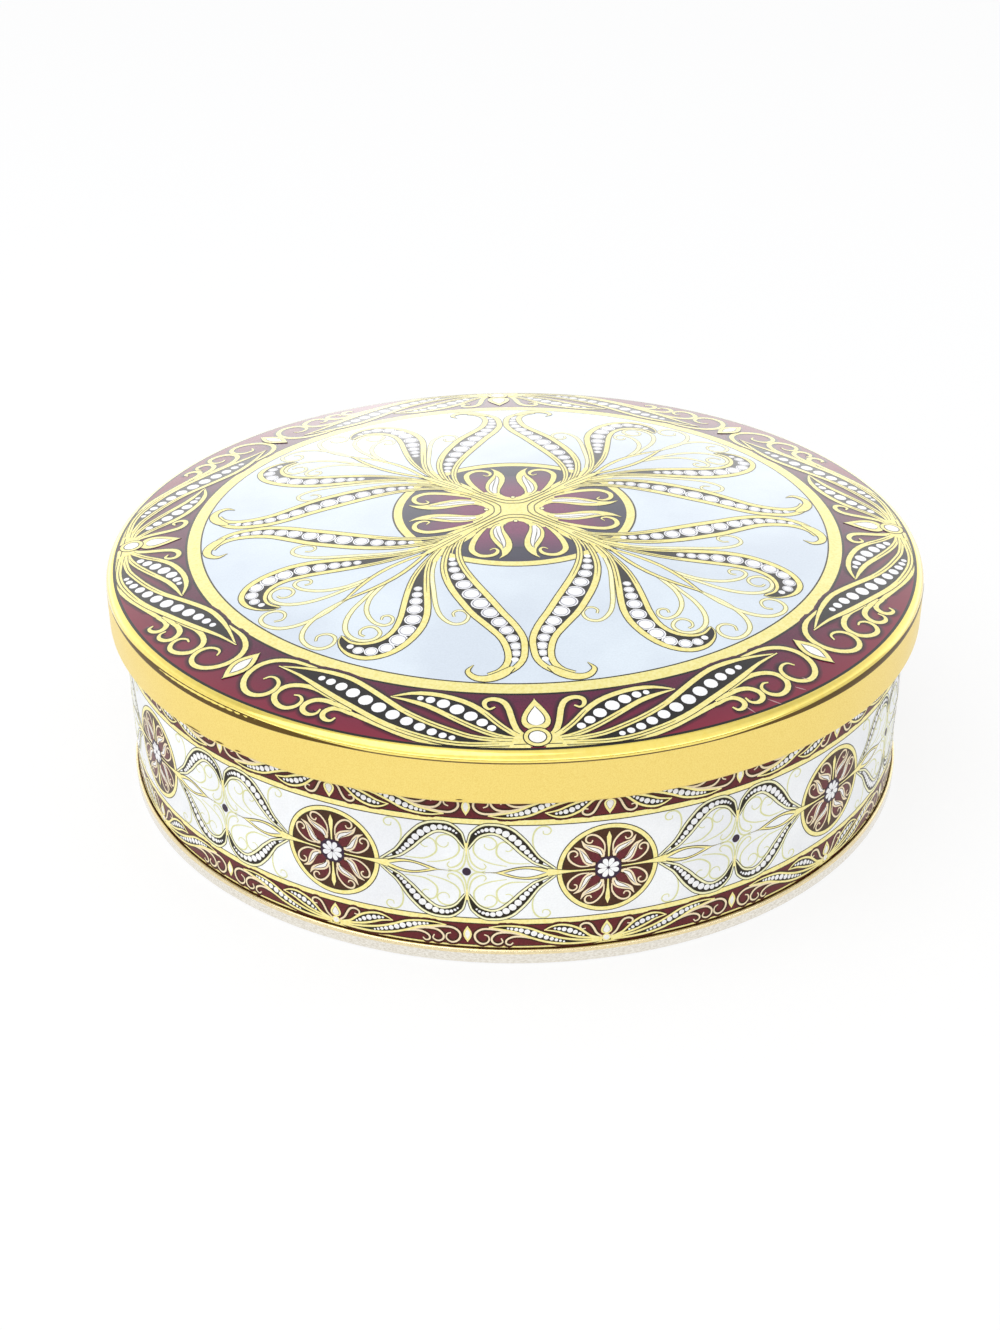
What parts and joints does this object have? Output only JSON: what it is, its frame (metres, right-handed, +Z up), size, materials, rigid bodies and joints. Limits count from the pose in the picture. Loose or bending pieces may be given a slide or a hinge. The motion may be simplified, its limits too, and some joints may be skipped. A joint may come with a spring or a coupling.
{
  "type": "decorative tin",
  "caption": "Shallow round biscuit tin with a domed slip lid, a printed wall with medallions and a double-seamed base.",
  "frame": {"origin": "centre of the circle that the base seam stands on", "axes": "+Z up along the tin's axis, the front of the picture along -Y, the lock seam at +Y"},
  "size_m": [0.2, 0.2, 0.0638],
  "materials": {
    "lid_print": "gloss lacquer over gold and white print",
    "wall_print": "gloss lacquer over white, gold and burgundy print",
    "bare_tinplate": "bright bare tinplate"
  },
  "bodies": {
    "tin": {"body_wall": "wall_print", "base_plate": "bare_tinplate"},
    "lid": {"lid": "lid_print"}
  },
  "joints": [
    {"name": "lid_lift", "type": "slide", "parent": "tin", "child": "lid", "axis": [0, 0, 1], "range_m": [0, 0.08]}
  ]
}
